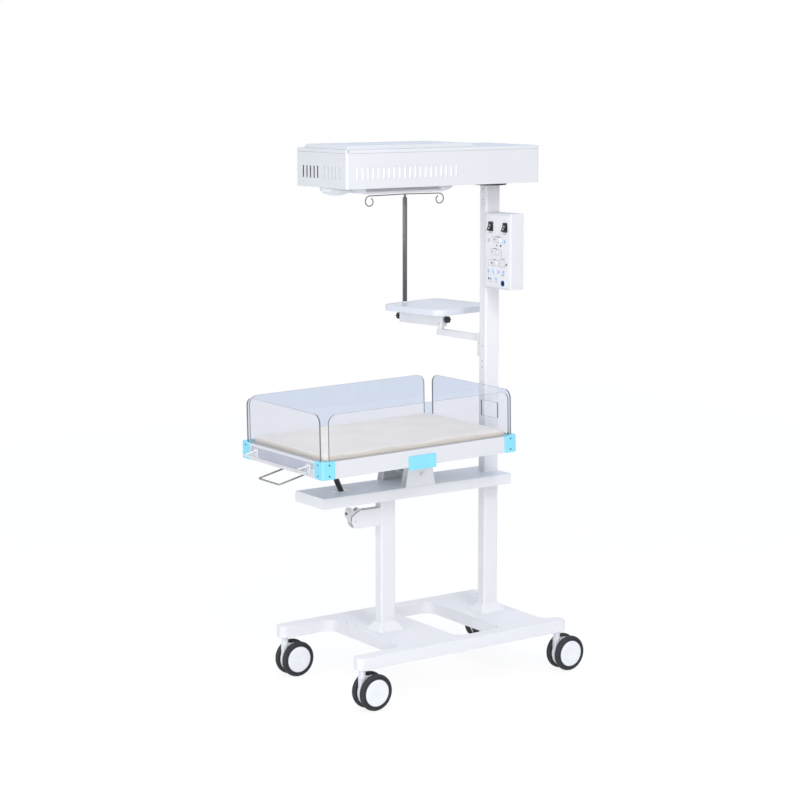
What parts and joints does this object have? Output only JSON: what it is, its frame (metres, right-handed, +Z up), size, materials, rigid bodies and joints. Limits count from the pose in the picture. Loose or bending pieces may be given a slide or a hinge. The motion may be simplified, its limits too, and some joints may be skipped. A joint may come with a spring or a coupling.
{
  "type": "infant radiant warmer",
  "caption": "Wheeled open baby bed with clear drop-in panels, tilting on a beam, under a slotted heater head on a tall column, with a control box, tray and infusion pole.",
  "frame": {"origin": "middle of the bounding box's underside, on the floor that the casters stand on", "axes": "+Z up along the column; -Y to the foot end of the bed and +Y to the head end, where the tall column stands; +X to the bed's right-hand long side, on which the control box hangs"},
  "size_m": [0.755, 1.1396, 1.8617],
  "materials": {
    "white_powder_coat": "satin white powder coat",
    "white_plastic": "smooth white moulded plastic",
    "panel_overlay": "printed membrane overlay, pale lilac white, no lettering",
    "blue_socket": "moulded deep blue",
    "blue_plastic": "satin light cyan moulding",
    "black_plastic": "satin black moulding",
    "zinc_steel": "plain zinc-plated steel",
    "chrome": "bright chrome",
    "black_steel": "black stoved enamel",
    "lamp_glass": "frosted lamp lens",
    "reflector_sheet": "polished aluminium sheet",
    "quartz": "quartz tube with ceramic ends",
    "clear_acrylic": "clear acrylic sheet with polished edges",
    "mattress_cover": "cream wipe-clean cover",
    "tyre_rubber": "black rubber tread on white discs"
  },
  "bodies": {
    "stand": {"base_frame": "white_powder_coat", "front_collar": "white_powder_coat", "rear_collar": "white_powder_coat", "front_column": "white_powder_coat", "rear_column": "white_powder_coat", "top_beam": "white_powder_coat", "hinge_rod": "zinc_steel", "strut_arm": "white_powder_coat", "strut_clevis": "chrome", "control_box": "white_powder_coat", "panel_overlay": "panel_overlay", "sensor_socket": "blue_socket", "switch_bezel_left": "black_plastic", "switch_bezel_right": "black_plastic", "swivel_disc": "black_plastic", "tray_arm": "white_powder_coat"},
    "heater_head": {"head_housing": "white_powder_coat", "head_lid": "white_powder_coat", "vent_cover": "white_powder_coat", "head_base_plate": "white_powder_coat", "front_lamp": "lamp_glass", "rear_lamp": "lamp_glass", "reflector": "reflector_sheet", "heater_tube": "quartz", "heater_guard": "chrome"},
    "bed": {"bed_tray": "white_plastic", "corner_block_foot_left": "blue_plastic", "corner_block_foot_right": "blue_plastic", "corner_block_head_left": "blue_plastic", "corner_block_head_right": "blue_plastic", "side_plate_left": "blue_plastic", "side_plate_right": "blue_plastic", "mattress": "mattress_cover", "bed_hinge_frame": "white_powder_coat", "bed_foot_mount": "zinc_steel", "foot_rail": "chrome", "rail_boss_left": "white_plastic", "rail_boss_right": "white_plastic"},
    "panel_left": {"bed_panel_left": "clear_acrylic"},
    "panel_right": {"bed_panel_right": "clear_acrylic"},
    "panel_foot": {"bed_panel_foot": "clear_acrylic"},
    "panel_head": {"bed_panel_head": "clear_acrylic"},
    "release_handle": {"release_handle": "chrome"},
    "strut_rod": {"strut_rod": "chrome"},
    "strut_cylinder": {"strut_cylinder": "black_steel"},
    "tray_holder": {"tray_bracket": "white_powder_coat", "instrument_tray": "white_plastic"},
    "pivot_knob": {"pivot_knob": "black_plastic"},
    "pole_knob": {"pole_knob": "black_plastic"},
    "infusion_pole": {"infusion_pole": "chrome"},
    "rocker_left": {"rocker_switch_left": "black_plastic"},
    "rocker_right": {"rocker_switch_right": "black_plastic"},
    "caster_front_left": {"caster_fork_front_left": "white_plastic"},
    "wheels_front_left": {"caster_wheels_front_left": "tyre_rubber"},
    "caster_front_right": {"caster_fork_front_right": "white_plastic"},
    "wheels_front_right": {"caster_wheels_front_right": "tyre_rubber"},
    "caster_rear_left": {"caster_fork_rear_left": "white_plastic"},
    "wheels_rear_left": {"caster_wheels_rear_left": "tyre_rubber"},
    "caster_rear_right": {"caster_fork_rear_right": "white_plastic"},
    "wheels_rear_right": {"caster_wheels_rear_right": "tyre_rubber"}
  },
  "joints": [
    {"name": "caster_front_left_swivel", "type": "hinge", "parent": "stand", "child": "caster_front_left", "pos_m": [-0.14348, -0.3607, 0.134], "axis": [0, 0, 1], "continuous": true},
    {"name": "wheels_front_left_roll", "type": "hinge", "parent": "caster_front_left", "child": "wheels_front_left", "pos_m": [-0.14348, -0.3217, 0.0625], "axis": [1, 0, 0], "continuous": true},
    {"name": "caster_front_right_swivel", "type": "hinge", "parent": "stand", "child": "caster_front_right", "pos_m": [0.34252, -0.3607, 0.134], "axis": [0, 0, 1], "continuous": true},
    {"name": "wheels_front_right_roll", "type": "hinge", "parent": "caster_front_right", "child": "wheels_front_right", "pos_m": [0.34252, -0.3217, 0.0625], "axis": [1, 0, 0], "continuous": true},
    {"name": "caster_rear_left_swivel", "type": "hinge", "parent": "stand", "child": "caster_rear_left", "pos_m": [-0.14348, 0.4683, 0.134], "axis": [0, 0, 1], "continuous": true},
    {"name": "wheels_rear_left_roll", "type": "hinge", "parent": "caster_rear_left", "child": "wheels_rear_left", "pos_m": [-0.14348, 0.5073, 0.0625], "axis": [1, 0, 0], "continuous": true},
    {"name": "caster_rear_right_swivel", "type": "hinge", "parent": "stand", "child": "caster_rear_right", "pos_m": [0.34252, 0.4683, 0.134], "axis": [0, 0, 1], "continuous": true},
    {"name": "wheels_rear_right_roll", "type": "hinge", "parent": "caster_rear_right", "child": "wheels_rear_right", "pos_m": [0.34252, 0.5073, 0.0625], "axis": [1, 0, 0], "continuous": true},
    {"name": "head_swivel", "type": "hinge", "parent": "stand", "child": "heater_head", "pos_m": [0.09952, 0.3438, 1.718], "axis": [0, 0, 1], "range_deg": [-90, 90]},
    {"name": "bed_tilt", "type": "hinge", "parent": "stand", "child": "bed", "pos_m": [0.09952, -0.0062, 0.737], "axis": [1, 0, 0], "range_deg": [-6, 9]},
    {"name": "strut_swing", "type": "hinge", "parent": "stand", "child": "strut_rod", "pos_m": [0.09952, -0.2492, 0.623], "axis": [1, 0, 0], "range_deg": [-12, 14]},
    {"name": "strut_slide", "type": "slide", "parent": "strut_rod", "child": "strut_cylinder", "axis": [0, -0.4105, 0.9118], "range_m": [-0.0435, 0.0295]},
    {"name": "handle_lift", "type": "hinge", "parent": "bed", "child": "release_handle", "pos_m": [0.09952, -0.35757, 0.80923], "axis": [1, 0, 0], "range_deg": [-7, 0], "stiffness_Nm_per_rad": 1, "springref_deg": 14.32},
    {"name": "panel_left_lift", "type": "slide", "parent": "bed", "child": "panel_left", "axis": [0, -0.0182, 0.9998], "range_m": [0, 0.05]},
    {"name": "panel_right_lift", "type": "slide", "parent": "bed", "child": "panel_right", "axis": [0, -0.0182, 0.9998], "range_m": [0, 0.05]},
    {"name": "panel_foot_lift", "type": "slide", "parent": "bed", "child": "panel_foot", "axis": [0, -0.0182, 0.9998], "range_m": [0, 0.05]},
    {"name": "panel_head_lift", "type": "slide", "parent": "bed", "child": "panel_head", "axis": [0, -0.0182, 0.9998], "range_m": [0, 0.05]},
    {"name": "tray_swing", "type": "hinge", "parent": "stand", "child": "tray_holder", "pos_m": [-0.15548, 0.3218, 1.2], "axis": [0, 0, 1], "range_deg": [-45, 90]},
    {"name": "pole_slide", "type": "slide", "parent": "tray_holder", "child": "infusion_pole", "axis": [0, 0, 1], "range_m": [-0.08, 0.03]},
    {"name": "pivot_knob_turn", "type": "hinge", "parent": "tray_holder", "child": "pivot_knob", "pos_m": [-0.13775, 0.32492, 1.2156], "axis": [0.9848, 0.1736, 0], "continuous": true},
    {"name": "pole_knob_turn", "type": "hinge", "parent": "tray_holder", "child": "pole_knob", "pos_m": [-0.35589, 0.28646, 1.2106], "axis": [-0.9848, -0.1736, 0], "continuous": true},
    {"name": "rocker_left_tip", "type": "hinge", "parent": "stand", "child": "rocker_left", "pos_m": [0.15552, 0.3072, 1.57], "axis": [1, 0, 0], "range_deg": [0, 30]},
    {"name": "rocker_right_tip", "type": "hinge", "parent": "stand", "child": "rocker_right", "pos_m": [0.23552, 0.3072, 1.57], "axis": [1, 0, 0], "range_deg": [0, 30]}
  ],
  "couplings": [
    {"joint": "strut_swing", "follows": "bed_tilt", "ratio": 1.015},
    {"joint": "strut_slide", "follows": "bed_tilt", "m_per_rad": -0.268}
  ]
}
